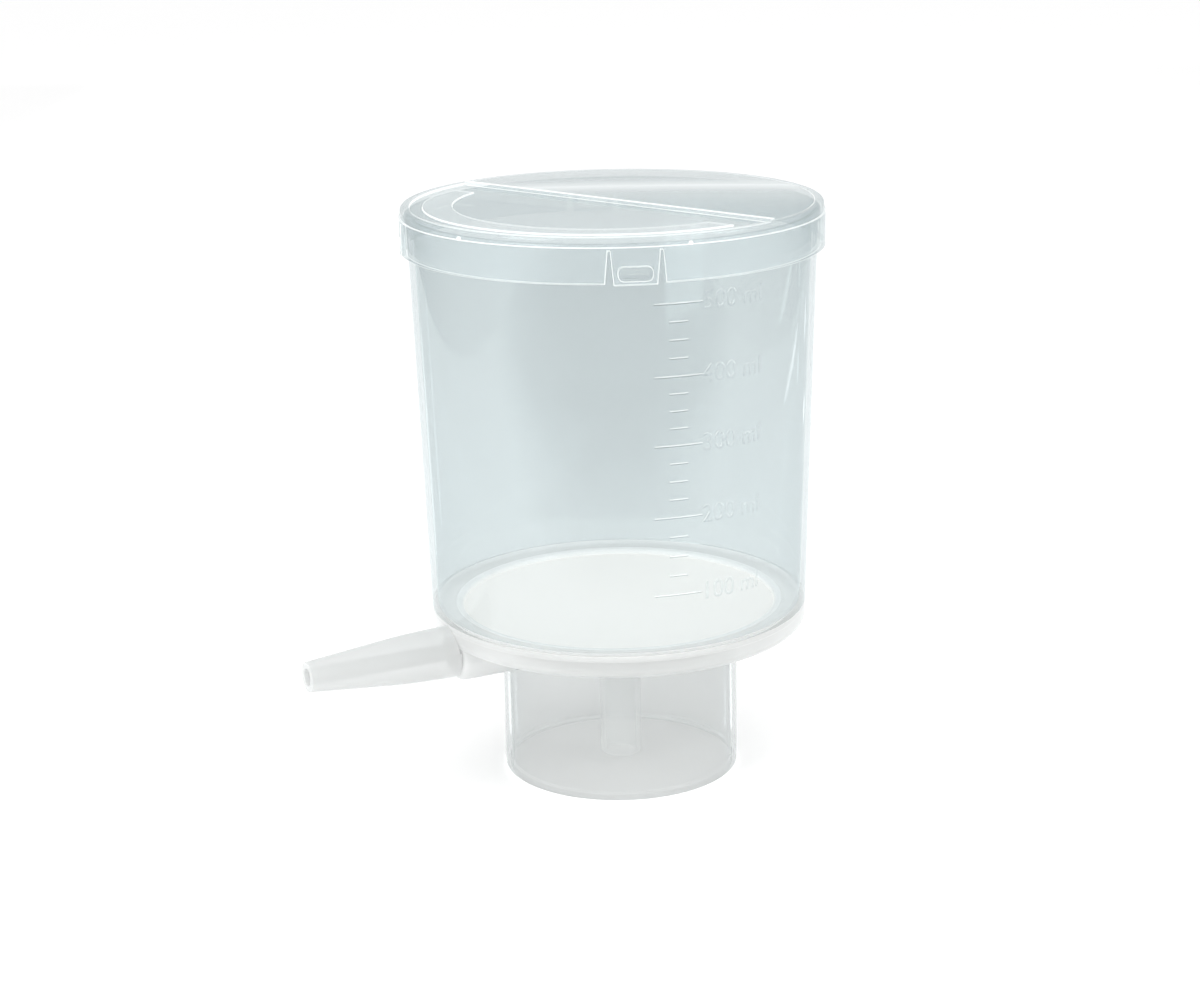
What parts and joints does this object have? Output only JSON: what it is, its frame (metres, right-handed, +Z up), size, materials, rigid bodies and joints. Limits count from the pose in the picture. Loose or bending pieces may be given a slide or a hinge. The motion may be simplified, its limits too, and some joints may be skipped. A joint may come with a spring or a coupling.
{
  "type": "bottle-top vacuum filtration unit",
  "caption": "Clear plastic bottle-top vacuum filter: graduated funnel with a clip-on lid, membrane in a ribbed base, side hose nozzle and a collar that slips over a bottle neck.",
  "frame": {"origin": "centre of the collar's open mouth, on the plane of its bottom edge", "axes": "+Z up along the funnel's axis, towards the lid; -X along the hose nozzle; the graduations face -Y"},
  "size_m": [0.1281, 0.0976, 0.1375],
  "materials": {
    "clear_plastic": "glossy",
    "frosted_plastic": "satin",
    "membrane": "matte",
    "pad": "matte",
    "seal": "matte"
  },
  "bodies": {
    "housing": {"base": "frosted_plastic", "funnel": "clear_plastic", "hose_nozzle": "frosted_plastic", "membrane": "membrane", "support_pad": "pad", "neck_gasket": "seal"},
    "lid": {"lid": "clear_plastic"}
  },
  "joints": [
    {"name": "lid_lift", "type": "slide", "parent": "housing", "child": "lid", "axis": [0, 0, 1], "range_m": [0, 0.04]}
  ]
}
